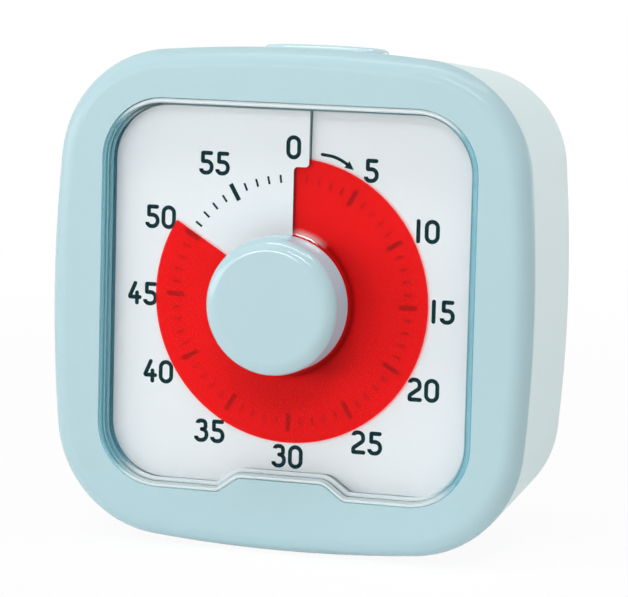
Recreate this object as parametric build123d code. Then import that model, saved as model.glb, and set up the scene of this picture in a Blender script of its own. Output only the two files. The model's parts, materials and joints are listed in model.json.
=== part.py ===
"""Visual countdown timer: a rounded square case with a clear cover, a knob and a red time disc.

Built about the spindle: X to the right, +Y into the case, +Z up, with the origin on the spindle's
axis in the plane of the case's front. Depths are Y values. `save` moves every piece so that the
origin ends up under the middle of the timer, on the surface it stands on. Millimetres.
"""

from build123d import *
import math
import os

# ---- case ----
case_half = 54.8            # half the width and height over the bulged sides
case_corner = 25.8          # corner radius
side_bulge_radius = 330.0   # the sides' own gentle bulge
bezel_depth = 3.55
bezel_round = 4.2           # soft front edge
parting_gap = 0.65          # a shadow line between the bezel and the shell
parting_edge = 0.2          # both edges beside it are eased by this
shell_step = 0.12           # the rear shell is this much smaller at the parting
shell_depth = 44.0
shell_taper = 5.0           # degrees
shell_round = 2.4
shell_wall = 2.2
tongue_wall = 1.3
tongue_reach = 2.0
fit_gap = 0.1               # between fixed pieces that locate each other
loose_gap = 0.3             # round pieces that move or drop in freely

# ---- window and lens ----
border_side = 12.15         # from the case's sides to the window
border_top = 11.75
border_bottom = 12.35
window_corner = 14.0
tab_height = 3.4            # the bezel's tab that rises into the window
tab_top = 19.4
tab_base = 28.6
tab_round = 2.9
lens_gap = 0.15
lens_plate = 2.0
lens_wall = 1.35
lens_round = 0.8
lens_flange = 1.0
lens_hole_gap = 0.8         # round the knob's boss
ring_lap = 2.8              # the cover's low ring starts this far inside the knob's edge
ring_width = 4.8
ring_height = 0.45

# ---- dial and time disc: two one-turn ramps of the same pitch ----
ramp_pitch = 1.1
dial_depth = 4.75           # the dial's front, halfway round
dial_thickness = 0.3
dial_hole = 9.2
slit_gap = 0.15
flap_reach = 3.6            # the zero flap's edge to the right of the zero line
flap_step = 29.1            # height of the flap's step above the spindle
flap_round = 0.9
disc_radius = 31.0
disc_thickness = 0.25
rest_minutes = 50.35
full_minutes = 60.0

# ---- knob, hub and spindle ----
knob_radius = 14.8
knob_front = -10.3
cap_depth = 3.1
cap_round = 2.9
knob_wall = 1.6
knob_lift = 1.0             # the knob's skirt ends this far in front of the lens
knob_boss = 4.0
knob_boss_end = 3.0
spindle_radius = 2.0
spindle_front = -5.0
spindle_flat = 1.6          # half the width over the spindle's two flats
collar_radius = 3.0
running_gap = 0.05
pivot_radius = 0.5
hub_radius = 7.9
hub_front = 3.6
hub_length = 1.7
bush_radius = 4.0

# ---- inner frame ----
frame_front = 5.65
pocket_margin = 1.5         # round the time disc
pocket_floor = 6.5
frame_back = 8.6
frame_screw_inset = 13.6    # from the case's sides to the screws that hold it to the bezel
post_inset = 18.8           # from the case's sides to the posts that hold the rear shell
post_radius = 2.8
post_end = 21.8
post_bore_depth = 11.0

# ---- screws ----
case_screw = (1.2, 2.5, 1.7, 12.5)      # shank radius, head radius, head height, shank length
frame_screw = (0.95, 1.7, 1.1, 5.6)
movement_screw = (0.9, 1.7, 1.1, 2.9)
board_screw = (0.9, 1.7, 1.0, 4.4)
screw_gap = 0.05            # round a shank in its pilot hole
clear_gap = 0.35            # round a shank in its clearance hole
drive_slot = 0.5

# ---- movement ----
movement_left, movement_right = -16.5, 27.0
movement_low, movement_high = -24.0, 22.5
movement_wall = 1.4
movement_corner = 3.2
movement_rim = 1.0          # the lid's locating rim
movement_lid = 1.3
movement_depth = 13.3
module = 0.3
pressure_angle = 30.0       # degrees
tooth_tip = 0.85            # of the module
tooth_root = 1.1            # of the module
backlash = 0.04             # taken off each tooth's thickness
wheel_thickness = 1.0
layer_gap = 0.8             # between the wheels' layers
centre_teeth, third_teeth, second_teeth, first_teeth = 60, 60, 56, 32
third_leaves, second_leaves, first_leaves, rotor_leaves = 8, 8, 7, 8
third_bearing, second_bearing = 90.0, -3.5      # degrees, each wheel seen from the one before
first_bearing, rotor_bearing = -50.0, -60.0
magnet_radius = 2.6
magnet_length = 4.0
stator_gap = 0.4
stator_ring = 4.9
stator_thickness = 1.2
stator_bar = 4.0
stator_core = 2.4           # the bar through the coil
stator_lap = 1.0            # the loop's sides beyond the coil
stator_lift = 2.0           # the cross bar above the middle
coil_drop = -17.5           # the coil's axis below the spindle
coil_left, coil_right = -7.5, 16.0
coil_radius = 3.1
bobbin_radius = 3.4
bobbin_core = 2.0
bobbin_cheek = 0.8
washer_thickness = 0.3
washer_radius = 3.7

# ---- electronics ----
board_thickness = 1.6
board_room = 7.1            # between the board and the rear wall
board_inset = 15.3          # from the case's top to the board
board_width, board_rise = 54.0, 26.0
standoff_radius = 2.2
standoff_inset = 3.2
chip_size = (10.0, 6.2, 1.3)
chip_place = (4.0, -0.5)    # X and Z from the board's middle, as for the next pieces
crystal_inset, switch_inset, buzzer_inset = 11.0, 12.5, 14.5    # from the board's nearer end
crystal_radius, crystal_length = 1.5, 7.0
crystal_place = (board_width / 2 - crystal_inset, -1.5)
buzzer_place = (buzzer_inset - board_width / 2, 0.0)
buzzer_radius = 10.5
buzzer_height = 5.0
buzzer_port = 1.6
sound_hole = 0.85
sound_spacing = 3.1
sound_rings = 2
switch_place = (board_width / 2 - switch_inset, 2.5)
switch_size = (10.0, 4.8, 4.0)
switch_travel = 3.6
thumb_size = (4.6, 3.2)
thumb_proud = 0.9
thumb_flange = 0.7

# ---- top button ----
button_depth = 24.8         # the button's middle behind the front
button_length = 28.4
button_width = 13.0
button_proud = 1.45
button_round = 1.2
button_travel = 0.8
button_flange = 1.2
tact_size = 6.2
tact_height = 3.1
tact_plunger = 1.7
button_board_length, button_board_width, button_board_thickness = 46.0, 11.0, 1.2

# ---- battery ----
cell_radius, cell_length = 7.2, 49.2
cell_nub = (2.7, 1.2)       # radius, length
cell_inset = 21.0           # from the case's underside to the cell's axis
cell_play = 0.5
bay_wall = 1.6
bay_room = 3.4              # at each end of the cell, for a contact
door_thickness = 1.7
door_lap = 1.8              # the door beyond the bay on each side
pin_radius, pin_length = 0.45, 1.0      # the door's two hinge pins
grip_width, grip_radius = 14.0, 4.2     # the finger hollow in the door
grip_inset = 4.0
contact_thickness = 0.4
contact_width, contact_rise = 11.0, 12.0
dimple_radius = 2.2
spring_wire = 0.35
spring_radius, spring_turns = 4.2, 3

# ---- feet ----
foot_radius = 4.0
foot_drop = 0.3             # the feet's bottom below the case's lowest point
foot_side = 23.5
foot_depths = (17.0, 42.0)

# ---- worked out ----
parting = bezel_depth + parting_gap
shell_back = parting + shell_depth
floor = -(case_half + foot_drop)
wall_back = shell_back - shell_wall
tongue_end = bezel_depth + tongue_reach
case_half_back = shell_back / 2 + knob_front / 2
movement_front = frame_back + fit_gap
movement_back = movement_front + movement_depth
lid_front = movement_back - movement_lid
layer_one = movement_front + movement_lid + 1.0
layer_step = wheel_thickness + layer_gap
post_bore = case_screw[0] + screw_gap
post_offset = case_half - post_inset
frame_screw_offset = case_half - frame_screw_inset
board_back = wall_back - board_room
board_depth = board_back - board_thickness
board_left, board_right = -board_width / 2, board_width / 2
board_high = case_half - board_inset
board_low = board_high - board_rise
cell_drop = cell_inset - case_half
bay_half = cell_length / 2 + cell_nub[1] / 2 + bay_room
bay_rise = cell_radius + cell_play
door_front = shell_back - door_thickness
cell_depth = door_front - loose_gap - cell_play - cell_radius


# ---- helpers ----
def facing(depth):
    """The plane at a depth, seen from the front: X to the right and Z up."""
    return Plane.XZ.offset(-depth)


def slab(outline, front, back):
    """An outline in X and Z as a solid between two depths."""
    return extrude(facing(back) * outline, amount=back - front)


def rod(radius, front, back, x=0.0, z=0.0):
    """A round bar along Y."""
    return slab(Pos(x, z) * Circle(radius), front, back)


def upright(radius, low, high, x, depth):
    """A round bar along Z."""
    return Pos(x, depth, low) * extrude(Circle(radius), amount=high - low)


def block(width, rise, front, back, x=0.0, z=0.0):
    """A box centred on X and Z, between two depths."""
    return slab(Pos(x, z) * Rectangle(width, rise), front, back)


def group(shapes):
    """Several pieces alike, kept as separate solids in one node."""
    return Compound([solid for shape in shapes for solid in shape.solids()])


def corners(offset):
    """Four places at the same distance from both middle planes."""
    return [(sx * offset, sz * offset) for sx in (-1, 1) for sz in (-1, 1)]


def case_inset(depth):
    """How far the rear shell's outside lies inside the bezel's outline at a depth."""
    return shell_step + (depth - parting) * math.tan(math.radians(shell_taper))


def side_height(x, inset):
    """Height of the case's upper side at x, for an outline drawn in by inset."""
    centre = case_half - side_bulge_radius
    return centre + math.sqrt((side_bulge_radius - inset) ** 2 - x * x)


def case_outline(inset=0.0):
    """The bulged rounded square, drawn in by inset: four long arcs and four corner arcs."""
    long_radius = side_bulge_radius - inset
    corner_radius = case_corner - inset
    reach = side_bulge_radius - case_half
    span = (side_bulge_radius - case_corner) ** 2
    # the corner arc's centre is (k, k), inside the long arc and touching it
    k = (-reach + math.sqrt(2 * span - reach * reach)) / 2
    lean = math.atan2(k, k + reach)
    meet = (-reach + long_radius * math.cos(lean), long_radius * math.sin(lean))
    side = ThreePointArc((meet[0], -meet[1]), (case_half - inset, 0), meet)
    tip = k + corner_radius / math.sqrt(2)
    corner = ThreePointArc(meet, (tip, tip), (meet[1], meet[0]))
    edges = [Rot(0, 0, 90 * i) * edge for i in range(4) for edge in (side, corner)]
    return make_face(edges)


def window_outline():
    """The window: a rounded rectangle with the tab standing in the middle of its lower side."""
    low, high = border_bottom - case_half, case_half - border_top
    opening = RectangleRounded(2 * (case_half - border_side), high - low, window_corner)
    opening = Pos(0, (low + high) / 2) * opening
    tab = Polygon(
        (-tab_base / 2, low), (tab_base / 2, low),
        (tab_top / 2, low + tab_height), (-tab_top / 2, low + tab_height), align=None,
    )
    outline = opening - tab
    near_tab = [v for v in outline.vertices() if abs(v.X) < tab_base / 2 + 0.01 and v.Y < 0]
    return fillet(near_tab, tab_round)


def window_inset(amount):
    """The window's outline drawn in by an amount."""
    return offset(window_outline(), amount=-amount)


def screw(size, depth, x, z):
    """A slotted pan-head screw driven from the back, its head seated at a depth."""
    shank, head, height, length = size
    body = rod(shank, depth - length, depth, x, z) + rod(head, depth, depth + height, x, z)
    return body - block(2 * head, drive_slot, depth + height / 2, depth + height, x, z)


def save(shape, name):
    """Writes a piece with the origin on the floor under the timer's middle."""
    export_step(Pos(0, -case_half_back, -floor) * shape, f"parts/{name}.step")


# ---- case pieces ----
def front_bezel():
    """A plate whose rounded edge ends at the parting, just before it would stand upright."""
    body = slab(case_outline(), 0, bezel_depth + bezel_round)
    front_edges = body.edges().group_by(Axis.Y)[0]
    body = fillet(front_edges, bezel_round)
    eased = slab(case_outline(), 0, bezel_depth)
    body &= chamfer(eased.edges().group_by(Axis.Y)[-1], parting_edge)
    tongue_inset = case_inset(tongue_end) + shell_wall + fit_gap
    tongue = case_outline(tongue_inset) - case_outline(tongue_inset + tongue_wall)
    body += slab(tongue, bezel_depth, tongue_end)
    body -= slab(window_outline(), 0, bezel_depth)
    shank, head = frame_screw[0], frame_screw[1]
    for x, z in corners(frame_screw_offset):
        body += rod(shank + head - 0.4, bezel_depth, frame_front - fit_gap, x, z)
    for x, z in corners(frame_screw_offset):
        bottom = frame_back - frame_screw[3] - fit_gap
        body -= rod(shank + screw_gap, bottom, frame_front, x, z)
    return body


def shell_blank(inset, front, back):
    """The tapered shell's shape, drawn in by inset, between two depths."""
    outline = facing(front) * case_outline(case_inset(front) + inset)
    return extrude(outline, amount=back - front, dir=(0, 1, 0), taper=shell_taper)


def shell_outside():
    blank = shell_blank(0, parting, shell_back)
    blank = chamfer(blank.edges().group_by(Axis.Y)[0], parting_edge)
    return fillet(blank.edges().group_by(Axis.Y)[-1], shell_round)


def button_outline(margin=0.0):
    """The top button's round-ended shape, seen from above."""
    pill = SlotOverall(button_length + 2 * margin, button_width + 2 * margin)
    return Pos(0, button_depth) * pill


def on_board(place):
    """X and Z of a place that is given from the circuit board's middle."""
    return place[0], (board_low + board_high) / 2 + place[1]


def sound_places():
    """Hole places in rings round the buzzer's centre."""
    x, z = on_board(buzzer_place)
    places = [(x, z)]
    for ring in range(1, sound_rings + 1):
        for i in range(6 * ring):
            turn = 2 * math.pi * i / (6 * ring)
            reach = ring * sound_spacing
            places.append((x + reach * math.cos(turn), z + reach * math.sin(turn)))
    return places


def standoff_places():
    """The two corners of the circuit board that its posts hold."""
    high, low = board_high - standoff_inset, board_low + standoff_inset
    return [(board_left + standoff_inset, high), (board_right - standoff_inset, low)]


def button_post_places():
    """The two posts that hold the button's board, left and right of the button."""
    side = button_board_length / 2 - board_screw[1] - screw_gap
    return [(-side, button_depth), (side, button_depth)]


def door_size():
    return 2 * (bay_half + door_lap), 2 * (bay_rise + door_lap)


def door_bar(radius, beyond=0.0):
    """A round bar on the door's hinge line, in the middle of its thickness at its lower edge."""
    width, rise = door_size()
    bar = Rot(0, 90, 0) * Cylinder(radius, width + 2 * beyond)
    return Pos(0, shell_back - door_thickness / 2, cell_drop - rise / 2 + door_thickness / 2) * bar


def rear_shell():
    body = shell_outside() - shell_blank(shell_wall, parting, wall_back)
    for x, z in corners(post_offset):
        boss = rod(case_screw[1] + clear_gap + 1.0, post_end + fit_gap, wall_back, x, z)
        body += boss
    bay_front = cell_depth - cell_radius - cell_play
    width, rise = 2 * (bay_half + bay_wall), 2 * (bay_rise + bay_wall)
    body += block(width, rise, bay_front - bay_wall, wall_back, 0, cell_drop)
    for x, z in standoff_places():
        body += rod(standoff_radius, board_back + fit_gap, wall_back, x, z)
    for x, y in button_post_places():
        top = side_height(x, case_inset(y) + shell_wall / 2)
        body += upright(standoff_radius, button_board_top() + fit_gap, top, x, y)
    for x, z in corners(post_offset):
        shank, head, height, _ = case_screw
        seat = post_end + fit_gap + 2.0
        body -= rod(shank + clear_gap, post_end, shell_back, x, z)
        body -= rod(head + clear_gap, seat, shell_back, x, z)
    body -= block(2 * bay_half, 2 * bay_rise, bay_front, shell_back, 0, cell_drop)
    width, rise = door_size()
    body -= block(width + 2 * fit_gap, rise + 2 * fit_gap, door_front - fit_gap, shell_back, 0, cell_drop)
    body -= door_bar(pin_radius + running_gap, pin_length + 2 * fit_gap)
    for x, z in standoff_places():
        body -= rod(board_screw[0] + screw_gap, board_depth, wall_back - 1.0, x, z)
    for x, y in button_post_places():
        low = button_board_top()
        body -= upright(board_screw[0] + screw_gap, low, low + board_screw[3], x, y)
    body -= extrude(button_outline(fit_gap), amount=case_half)
    for x, z in sound_places():
        body -= rod(sound_hole, wall_back, shell_back, x, z)
    x, z = on_board(switch_place)
    slot = thumb_size[0] + switch_travel + 2 * loose_gap
    body -= block(slot, thumb_size[1] + 2 * fit_gap, wall_back, shell_back, x, z)
    return body


def feet():
    """Four rubber pads that fill the space under the tapered shell."""
    pads = []
    for y in foot_depths:
        for x in (-foot_side, foot_side):
            pad = upright(foot_radius, floor, 0, x, y)
            pads.append(pad - shell_blank(-0.02, parting, shell_back))
    return group(pad.solids().sort_by(Axis.Z)[0] for pad in pads)


def battery_door():
    """A flat door that swings on two pins at its rounded lower edge."""
    width, rise = door_size()
    edge = door_thickness / 2
    door = block(width, rise - edge, door_front, shell_back, 0, cell_drop + edge / 2)
    door += door_bar(edge) + door_bar(pin_radius, pin_length)
    grip_depth = shell_back + grip_radius - door_thickness / 2
    grip = Pos(0, grip_depth, cell_drop + rise / 2 - grip_inset) * Rot(0, 90, 0)
    return door - grip * Cylinder(grip_radius, grip_width)


def housing_screws():
    seat = post_end + fit_gap + 2.0
    return group(screw(case_screw, seat, x, z) for x, z in corners(post_offset))


# ---- lens, dial and inner frame ----
def lens():
    outer = window_inset(lens_gap)
    inner = window_inset(lens_gap + lens_wall)
    rim_end = frame_front - fit_gap
    body = slab(outer, 0, rim_end)
    body = fillet(body.edges().group_by(Axis.Y)[0], lens_round)
    body -= slab(inner, lens_plate, rim_end)
    flange = offset(outer, amount=lens_flange) - outer
    body += slab(flange, bezel_depth + running_gap, rim_end)
    near = knob_radius - ring_lap
    far = near + ring_width
    crest = ThreePointArc((near, 0), ((near + far) / 2, ring_height), (far, 0))
    foot = Polyline((far, 0), (far, -lens_plate / 2), (near, -lens_plate / 2), (near, 0))
    ring = revolve(make_face([crest, foot]), Axis.Y)
    return body - rod(knob_boss + lens_hole_gap, 0, lens_plate) + Rot(180, 0, 0) * ring


def ramp(inner, outer, start, turn, low, thickness):
    """A ramped sheet that rises towards the front as it goes clockwise.

    Ruled between two helices: start and turn are clockwise degrees from the top, low is how far
    the sheet's back stands in front of the case's front plane where it starts.
    """
    rise = ramp_pitch * turn / 360
    edges = [Edge.make_helix(ramp_pitch, rise, r, lefthand=True) for r in (inner, outer)]
    sheet = Solid.extrude(Face.make_surface_from_curves(*edges), Vector(0, 0, thickness))
    return Plane.XZ.location * Pos(0, 0, low) * Rot(0, 0, 90 - start) * sheet


def dial_low(turn):
    """How far the dial's back stands in front of the case's front plane, at a clockwise angle."""
    return ramp_pitch * (turn / 360 - 0.5) - dial_depth - dial_thickness


def dial_plate():
    """The dial: a ramp cut by one slit at zero, whose front flap steps over to the right."""
    start = math.degrees(slit_gap / dial_hole)
    overlap = math.degrees(math.atan2(flap_reach, flap_step)) + 2.0
    sheet = ramp(dial_hole, 2 * disc_radius, start, 360 + overlap - start, dial_low(start), dial_thickness)
    far = 2 * case_half
    spare = make_face(Polyline(
        (slit_gap, 0), (slit_gap, flap_step), (flap_reach, flap_step), (flap_reach, far),
        (far, far), (far, 0), close=True))
    turns = [v for v in spare.vertices() if abs(v.Y - flap_step) < 0.01]
    spare = fillet(turns, flap_round)
    halfway = dial_depth - dial_thickness / 2
    body = sheet - slab(spare, halfway - 2 * ramp_pitch, halfway)
    shape = slab(window_inset(lens_gap + lens_wall + loose_gap), 0, frame_front)
    return body & shape


def time_disc():
    """The red disc: one turn of the same ramp, half a pitch in front of the dial where it shows."""
    start = rest_minutes / full_minutes * 360 - 360 + 0.5
    middle = dial_low(start) + dial_thickness / 2 + ramp_pitch / 2
    low = middle - disc_thickness / 2
    return ramp(hub_radius + fit_gap, disc_radius, start, 359.0, low, disc_thickness)


def spindle_section(gap=0.0):
    """A circle with two flats."""
    return Circle(spindle_radius + gap) & Rectangle(2 * (spindle_flat + gap), 4 * spindle_radius)


def disc_hub():
    body = rod(hub_radius, hub_front, hub_front + hub_length)
    return body - slab(spindle_section(running_gap), hub_front, hub_front + hub_length)


def movement_screw_places():
    left, right = movement_left - 3.0, movement_right + 3.0
    return [(x, z) for x in (left, right) for z in (movement_low + 7.0, movement_high - 7.5)]


def inner_frame():
    """The plate behind the dial: carries dial, bush and movement, and the posts for the shell."""
    tongue_inset = case_inset(tongue_end) + shell_wall + fit_gap
    outline = case_outline(tongue_inset + tongue_wall + loose_gap)
    body = slab(outline, frame_front, frame_back)
    body -= rod(disc_radius + pocket_margin, frame_front, pocket_floor)
    for x, z in corners(post_offset):
        body += rod(post_radius, frame_back, post_end, x, z)
    for x, z in corners(post_offset):
        body -= rod(post_bore, post_end - post_bore_depth, post_end, x, z)
    for x, z in corners(frame_screw_offset):
        body -= rod(frame_screw[0] + clear_gap, frame_front, frame_back, x, z)
    for x, z in movement_screw_places():
        body -= rod(movement_screw[0] + screw_gap, frame_back - 1.7, frame_back, x, z)
    return body - rod(bush_radius + running_gap, pocket_floor, frame_back)


def spindle_bush():
    return rod(bush_radius, pocket_floor, frame_back) - rod(
        spindle_radius + running_gap, pocket_floor, frame_back)


def frame_screws():
    return group(screw(frame_screw, frame_back, x, z) for x, z in corners(frame_screw_offset))


# ---- knob and spindle ----
def knob_cap():
    body = rod(knob_radius, knob_front, knob_front + cap_depth)
    body = fillet(body.edges().group_by(Axis.Y)[0], cap_round)
    plug = knob_radius - knob_wall - fit_gap
    return body + rod(plug, knob_front + cap_depth, knob_front + cap_depth + 1.0)


def knob_base():
    top = knob_front + cap_depth
    body = rod(knob_radius, top, -knob_lift)
    body -= rod(knob_radius - knob_wall, top, top + 1.0 + fit_gap)
    body -= rod(knob_radius - knob_wall, top + 1.0 + fit_gap + knob_wall, -knob_lift)
    body += rod(knob_boss, top + 1.0 + fit_gap, knob_boss_end)
    return body - rod(spindle_radius + 0.02, spindle_front, knob_boss_end)


def clutch_seat():
    """Depth of the back of the centre wheel."""
    return layer_one + wheel_thickness


def spindle():
    """Round in the knob, bush and clutch, with two flats where the disc's hub slides."""
    end = clutch_seat() + fit_gap + washer_thickness + fit_gap
    body = rod(spindle_radius, spindle_front, knob_boss_end)
    body += slab(spindle_section(), knob_boss_end, pocket_floor)
    body += rod(spindle_radius, pocket_floor, end)
    body += rod(collar_radius, layer_one - 0.6, layer_one - running_gap)
    return body + rod(pivot_radius, end, movement_back)


def clutch_washer():
    """A domed spring washer with three slots, pressing the centre wheel against the collar."""
    front = clutch_seat() + running_gap
    body = rod(washer_radius, front, front + washer_thickness)
    body -= rod(spindle_radius + 0.02, front, front + washer_thickness)
    for i in range(3):
        slot = Rot(0, 0, 120 * i) * Pos(washer_radius, 0) * Rectangle(1.4, 0.8)
        body -= slab(slot, front, front + washer_thickness)
    return body


# ---- gear train ----
def involute(angle):
    return math.tan(angle) - angle


def gear_outline(teeth):
    """An involute gear of the train's module, with one tooth centred on the X axis."""
    pitch = module * teeth / 2
    flat = math.radians(pressure_angle)
    base, tip, root = pitch * math.cos(flat), pitch + module * tooth_tip, pitch - module * tooth_root
    half = (math.pi * module / 2 - backlash) / (2 * pitch) + involute(flat)
    start = max(base, root)
    radii = [start + (tip - start) * share for share in (0, 0.35, 0.7, 1)]

    def at(radius, angle):
        return (radius * math.cos(angle), radius * math.sin(angle))

    def lean(radius):
        return half - involute(math.acos(min(1.0, base / radius)))

    edges = []
    step = 2 * math.pi / teeth
    for i in range(teeth):
        middle = i * step
        rising = [at(r, middle - lean(r)) for r in radii]
        falling = [at(r, middle + lean(r)) for r in reversed(radii)]
        edges += [Spline(*rising), Line(rising[-1], falling[0]), Spline(*falling)]
        foot = at(root, middle + lean(start))
        next_foot = at(root, middle + step - lean(start))
        following = at(start, middle + step - lean(start))
        if base > root:
            edges.append(Line(falling[-1], foot))
        else:
            foot, next_foot = falling[-1], following
        edges.append(Line(foot, next_foot))
        if base > root:
            edges.append(Line(next_foot, following))
    return make_face(edges)


def gear(teeth, layer, place, towards):
    """A gear in a layer of the movement, with a tooth pointing along the angle `towards`."""
    front = layer_one + layer * layer_step
    return slab(Pos(*place) * Rot(0, 0, towards) * gear_outline(teeth), front, front + wheel_thickness)


def step_from(place, teeth, leaves, bearing):
    """The centre of the next arbor, in mesh with the wheel at place."""
    reach = module * (teeth + leaves) / 2
    turn = math.radians(bearing)
    return place[0] + reach * math.cos(turn), place[1] + reach * math.sin(turn)


def train():
    """Arbor places: third, second, first wheel and rotor, each from the one before."""
    third = step_from((0, 0), centre_teeth, third_leaves, third_bearing)
    second = step_from(third, third_teeth, second_leaves, second_bearing)
    first = step_from(second, second_teeth, first_leaves, first_bearing)
    rotor = step_from(first, first_teeth, rotor_leaves, rotor_bearing)
    return third, second, first, rotor


def arbor(place, extra=0.0):
    """A thin axle between the movement's front and its lid."""
    return rod(pivot_radius, movement_front + extra, movement_back - extra, *place)


def leaf_angle(bearing, leaves):
    """Turns a pinion so that a gap faces the wheel that it meshes with."""
    return bearing + 180 + 180 / leaves


def centre_wheel():
    body = gear(centre_teeth, 0, (0, 0), third_bearing)
    return body - rod(spindle_radius + running_gap, layer_one, layer_one + wheel_thickness)


def wheel_and_pinion(place, teeth, leaves, layer, bearing, towards):
    """A wheel with its pinion one layer in front of it, on one arbor."""
    body = gear(teeth, layer, place, towards) + gear(leaves, layer - 1, place, leaf_angle(bearing, leaves))
    return body + arbor(place)


def third_wheel():
    return wheel_and_pinion(train()[0], third_teeth, third_leaves, 1, third_bearing, second_bearing)


def second_wheel():
    return wheel_and_pinion(train()[1], second_teeth, second_leaves, 2, second_bearing, first_bearing)


def first_wheel():
    return wheel_and_pinion(train()[2], first_teeth, first_leaves, 3, first_bearing, rotor_bearing)


def rotor_pinion():
    place = train()[3]
    return gear(rotor_leaves, 3, place, leaf_angle(rotor_bearing, rotor_leaves)) + arbor(place)


def rotor_magnet():
    place = train()[3]
    front = stator_front() + stator_thickness / 2 - magnet_length / 2
    return rod(magnet_radius, front, front + magnet_length, *place) - rod(
        pivot_radius + 0.02, front, front + magnet_length, *place)


def stator_front():
    return layer_one + 1.1 * layer_step


def stator():
    """A closed iron loop: a ring round the rotor and a core through the coil."""
    rx, rz = train()[3]
    front, back = stator_front(), stator_front() + stator_thickness
    left = coil_left - stator_bar / 2 - stator_lap
    right = coil_right + stator_bar / 2 + stator_lap
    top = (rz + coil_drop) / 2 + stator_lift
    body = rod(stator_ring, front, back, rx, rz)
    body += block(stator_bar, rz - coil_drop, front, back, right, (rz + coil_drop) / 2)
    body += block(right - left, stator_bar * 0.7, front, back, (left + right) / 2, top)
    body += block(stator_bar, top - coil_drop, front, back, left, (top + coil_drop) / 2)
    body += block(right - left + stator_bar, stator_core, front, back, (left + right) / 2, coil_drop)
    return body - rod(magnet_radius + stator_gap, front, back, rx, rz)


def coil_bar(radius, left, right):
    """A round bar along X on the coil's axis."""
    depth = stator_front() + stator_thickness / 2
    bar = Rot(0, 90, 0) * Cylinder(radius, right - left)
    return Pos((left + right) / 2, depth, coil_drop) * bar


def coil_bobbin():
    core = coil_bar(bobbin_core, coil_left, coil_right)
    for left in (coil_left, coil_right - bobbin_cheek):
        core += coil_bar(bobbin_radius, left, left + bobbin_cheek)
    depth = stator_front() + stator_thickness / 2
    tunnel = Box(coil_right - coil_left, stator_thickness + 2 * fit_gap, stator_core + 2 * fit_gap)
    return core - Pos((coil_left + coil_right) / 2, depth, coil_drop) * tunnel


def coil_winding():
    left, right = coil_left + bobbin_cheek + fit_gap, coil_right - bobbin_cheek - fit_gap
    return coil_bar(coil_radius, left, right) - coil_bar(bobbin_core + 0.02, left, right)


def movement_outline(inset=0.0):
    width, rise = movement_right - movement_left, movement_high - movement_low
    box = RectangleRounded(width - 2 * inset, rise - 2 * inset, movement_corner - inset)
    return Pos((movement_left + movement_right) / 2, (movement_low + movement_high) / 2) * box


def pivot_holes(front, back):
    return [rod(pivot_radius + running_gap, front, back, *place) for place in train()]


def movement_case():
    """The front half: plate, walls and four ears."""
    body = slab(movement_outline(), movement_front, lid_front - fit_gap)
    body -= slab(movement_outline(movement_wall), movement_front + movement_lid, lid_front)
    for x, z in movement_screw_places():
        reach = 3.0 if x > 0 else -3.0
        body += block(6.0, 6.0, movement_front, movement_front + movement_lid, x - reach / 2, z)
    for x, z in movement_screw_places():
        body -= rod(movement_screw[0] + clear_gap, movement_front, lid_front, x, z)
    for hole in pivot_holes(movement_front, lid_front):
        body -= hole
    return body - rod(spindle_radius + loose_gap, movement_front, lid_front)


def movement_cover():
    """The rear half: a lid with a locating rim inside the walls."""
    body = slab(movement_outline(), lid_front, movement_back)
    inset = movement_wall + fit_gap
    rim = movement_outline(inset) - movement_outline(inset + movement_rim)
    body += slab(rim, lid_front - 0.8, lid_front)
    for hole in pivot_holes(lid_front - 1, movement_back):
        body -= hole
    return body - rod(pivot_radius + running_gap, lid_front - 1, movement_back)


def movement_screws():
    seat = movement_front + movement_lid
    return group(screw(movement_screw, seat, x, z) for x, z in movement_screw_places())


# ---- electronics ----
def circuit_board():
    width, rise = board_right - board_left, board_high - board_low
    middle = ((board_left + board_right) / 2, (board_low + board_high) / 2)
    body = slab(Pos(*middle) * RectangleRounded(width, rise, 1.5), board_depth, board_back)
    for x, z in standoff_places():
        body -= rod(board_screw[0] + clear_gap / 2, board_depth, board_back, x, z)
    return body


def board_screws():
    """Two for the circuit board, from the front, and two for the button's board, from below."""
    shank, head, height, length = board_screw
    screws = []
    for x, z in standoff_places():
        body = rod(shank, board_depth, board_depth + length, x, z)
        body += rod(head, board_depth - height, board_depth, x, z)
        slot = block(2 * head, drive_slot, board_depth - height, board_depth - height / 2, x, z)
        screws.append(body - slot)
    low = button_board_top() - button_board_thickness
    for x, y in button_post_places():
        body = upright(shank, low, low + length, x, y) + upright(head, low - height, low, x, y)
        screws.append(body - Pos(x, y, low - height) * Box(2 * head, drive_slot, height))
    return group(screws)


def controller_chip():
    width, rise, height = chip_size
    return block(width, rise, board_depth - height, board_depth - running_gap, *on_board(chip_place))


def crystal():
    x, z = on_board(crystal_place)
    depth = board_depth - crystal_radius - running_gap
    return Pos(x, depth, z) * Rot(0, 90, 0) * Cylinder(crystal_radius, crystal_length)


def buzzer():
    front = board_back + running_gap
    place = on_board(buzzer_place)
    body = rod(buzzer_radius, front, front + buzzer_height, *place)
    return body - rod(buzzer_port, front + 1.0, front + buzzer_height, *place)


def slide_switch():
    """The fixed body of the sound switch, with the channel that its thumb piece runs in."""
    width, rise, height = switch_size
    x, z = on_board(switch_place)
    front = board_back + running_gap
    body = block(width, rise, front, front + height, x, z)
    channel = switch_travel + 2.6 + 2 * loose_gap
    return body - block(channel, 2.2, front + height - 1.4, front + height, x, z)


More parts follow.
